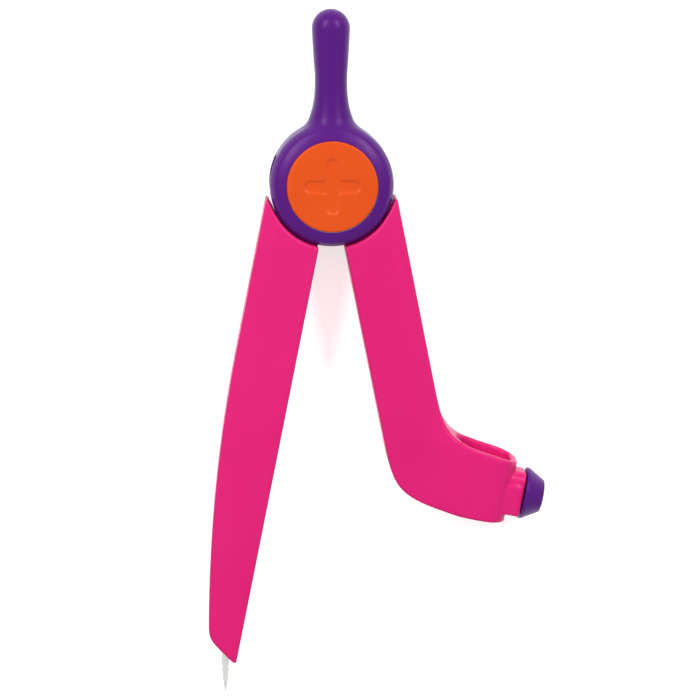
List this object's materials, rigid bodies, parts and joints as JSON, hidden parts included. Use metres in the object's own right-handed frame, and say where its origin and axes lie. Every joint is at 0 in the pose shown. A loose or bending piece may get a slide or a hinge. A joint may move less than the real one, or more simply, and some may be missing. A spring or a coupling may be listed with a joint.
{
  "type": "drafting compass",
  "caption": "School drafting compass: round hinged head with finger grip, a leg with a steel point, and a leg whose foot ends in a ring that clamps a pencil with a thumb screw.",
  "frame": {"origin": "on the hinge axis, on the flat of the rear cap, which the compass lies on", "axes": "+Z out of the front of the head along the hinge axis, +Y from the hinge towards the handle's tip, +X towards the pencil leg"},
  "size_m": [0.0785, 0.16, 0.0142],
  "materials": {
    "purple_plastic": "smooth moulded",
    "orange_plastic": "smooth moulded",
    "pink_plastic": "smooth moulded",
    "steel": "satin",
    "washer_plastic": "plain moulded"
  },
  "bodies": {
    "handle": {"handle_housing": "purple_plastic", "front_cap": "orange_plastic", "rear_cap": "orange_plastic", "pivot_pin": "steel", "retaining_washer": "steel", "disc_spring": "steel", "middle_washer": "washer_plastic", "front_washer": "washer_plastic"},
    "needle_leg": {"needle_leg": "pink_plastic", "needle_ferrule": "steel", "needle": "steel"},
    "pencil_leg": {"pencil_leg": "pink_plastic", "clamp_nut": "steel"},
    "pad": {"pressure_pad": "washer_plastic"},
    "screw": {"clamp_screw": "steel", "knob": "purple_plastic"}
  },
  "joints": [
    {"name": "needle_leg_hinge", "type": "hinge", "parent": "handle", "child": "needle_leg", "pos_m": [0, 0, 0.007], "axis": [0, 0, -1], "range_deg": [-11.25, 58.75]},
    {"name": "pencil_leg_hinge", "type": "hinge", "parent": "handle", "child": "pencil_leg", "pos_m": [0, 0, 0.007], "axis": [0, 0, 1], "range_deg": [-11.25, 58.75]},
    {"name": "clamp_travel", "type": "slide", "parent": "pencil_leg", "child": "pad", "axis": [0.9799, -0.1994, 0], "range_m": [0, 0.0049]},
    {"name": "knob_turn", "type": "hinge", "parent": "pad", "child": "screw", "pos_m": [0.04628, -0.07345, 0.007], "axis": [0.9799, -0.1994, 0], "range_deg": [0, 2520]}
  ],
  "couplings": [
    {"joint": "knob_turn", "follows": "clamp_travel", "rad_per_m": 8976}
  ]
}
